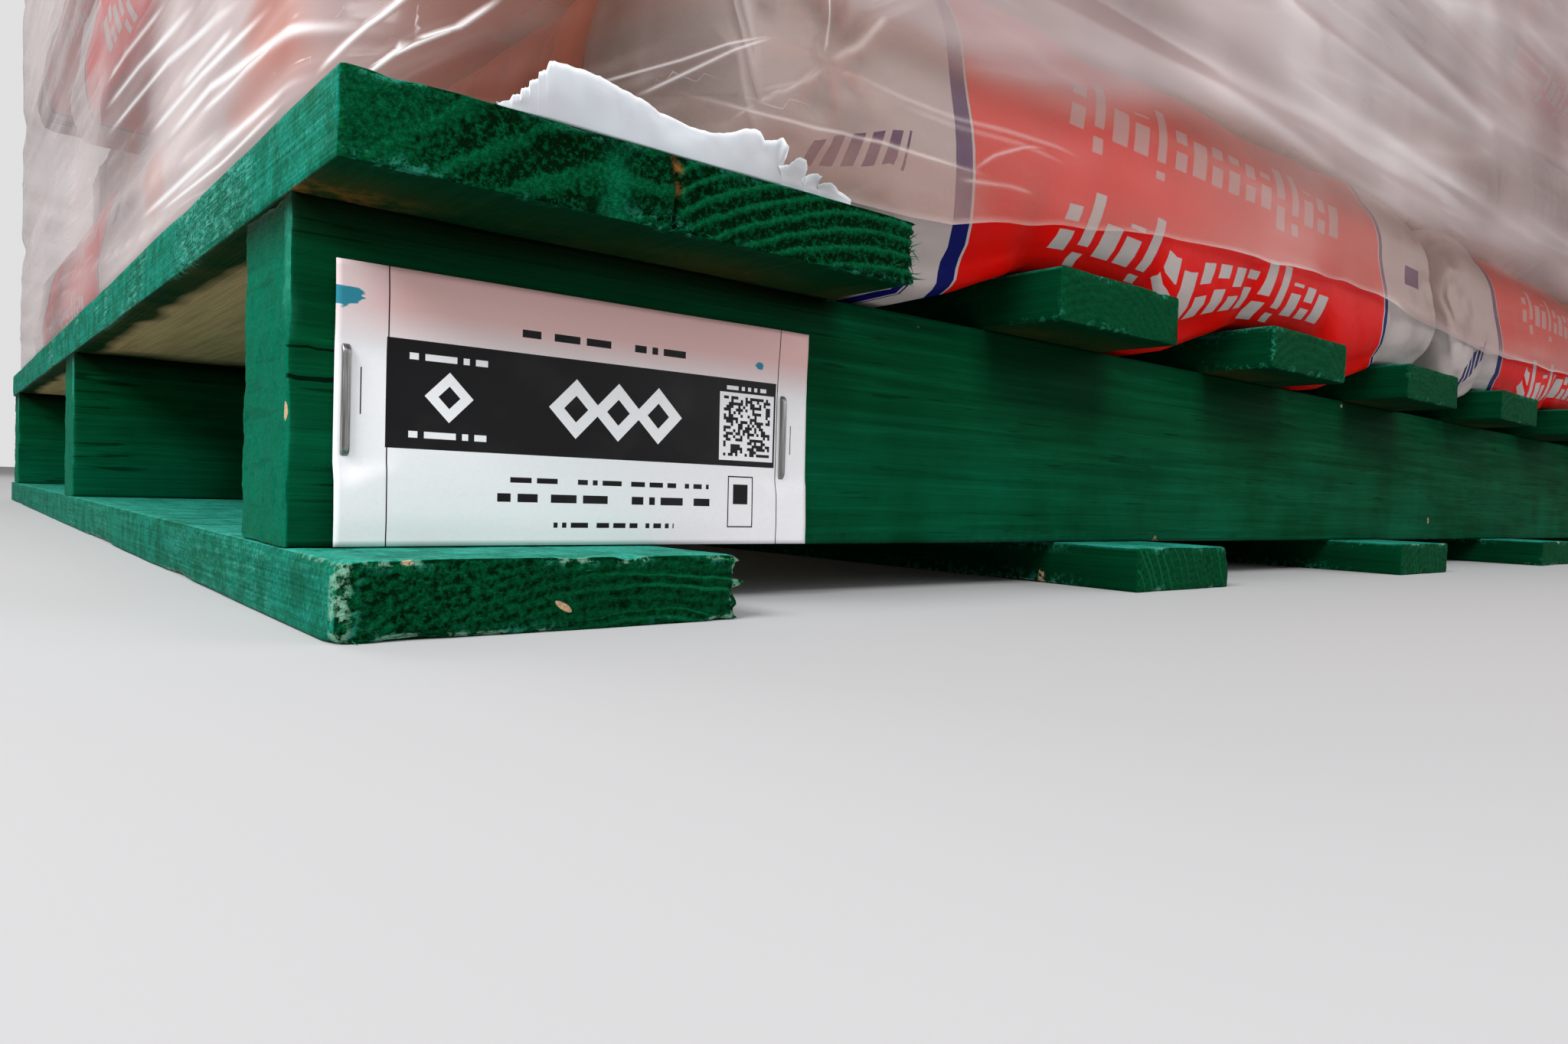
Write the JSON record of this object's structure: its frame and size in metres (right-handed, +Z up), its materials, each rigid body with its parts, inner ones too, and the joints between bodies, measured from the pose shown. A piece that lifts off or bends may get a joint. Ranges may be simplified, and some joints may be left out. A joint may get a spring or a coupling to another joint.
{
  "type": "loaded pallet of sacks",
  "caption": "Filled plastic sacks stacked in crossed layers on a painted two-way timber pallet and held by stretch film, with a stapled card tag.",
  "frame": {"origin": "on the floor under the middle of the pallet", "axes": "+X along the stringers, the way the forks go in; +Y along the boards, away from the side with the card tag; +Z up"},
  "size_m": [1.2, 1, 0.9517],
  "materials": {
    "painted_timber": "sawn softwood under thin green paint",
    "tag_card": "glossy printed card",
    "staple_steel": "dull steel wire",
    "sack_plastic": "printed white and orange-red plastic sheet",
    "stretch_film": "clear, milky where it is creased"
  },
  "bodies": {
    "root": {"stringer_near": "painted_timber", "stringer_middle": "painted_timber", "stringer_far": "painted_timber", "top_lead_board_left": "painted_timber", "top_board_2": "painted_timber", "top_board_3": "painted_timber", "top_board_4": "painted_timber", "top_board_5": "painted_timber", "top_board_6": "painted_timber", "top_lead_board_right": "painted_timber", "bottom_lead_board_left": "painted_timber", "bottom_board_2": "painted_timber", "bottom_board_3": "painted_timber", "bottom_board_4": "painted_timber", "bottom_lead_board_right": "painted_timber", "tag_card": "tag_card", "tag_staple_left": "staple_steel", "tag_staple_right": "staple_steel", "sack_1_1": "sack_plastic", "sack_1_2": "sack_plastic", "sack_1_3": "sack_plastic", "sack_1_4": "sack_plastic", "sack_1_5": "sack_plastic", "sack_2_1": "sack_plastic", "sack_2_2": "sack_plastic", "sack_2_3": "sack_plastic", "sack_2_4": "sack_plastic", "sack_2_5": "sack_plastic", "sack_3_1": "sack_plastic", "sack_3_2": "sack_plastic", "sack_3_3": "sack_plastic", "sack_3_4": "sack_plastic", "sack_3_5": "sack_plastic", "sack_4_1": "sack_plastic", "sack_4_2": "sack_plastic", "sack_4_3": "sack_plastic", "sack_4_4": "sack_plastic", "sack_4_5": "sack_plastic", "sack_5_1": "sack_plastic", "sack_5_2": "sack_plastic", "sack_5_3": "sack_plastic", "sack_5_4": "sack_plastic", "sack_5_5": "sack_plastic", "sack_6_1": "sack_plastic", "sack_6_2": "sack_plastic", "sack_6_3": "sack_plastic", "sack_6_4": "sack_plastic", "sack_6_5": "sack_plastic", "sack_7_1": "sack_plastic", "sack_7_2": "sack_plastic", "sack_7_3": "sack_plastic", "sack_7_4": "sack_plastic", "sack_7_5": "sack_plastic", "sack_8_1": "sack_plastic", "sack_8_2": "sack_plastic", "sack_8_3": "sack_plastic", "sack_8_4": "sack_plastic", "sack_8_5": "sack_plastic", "film_wrap": "stretch_film", "film_scrap": "stretch_film"}
  },
  "joints": []
}
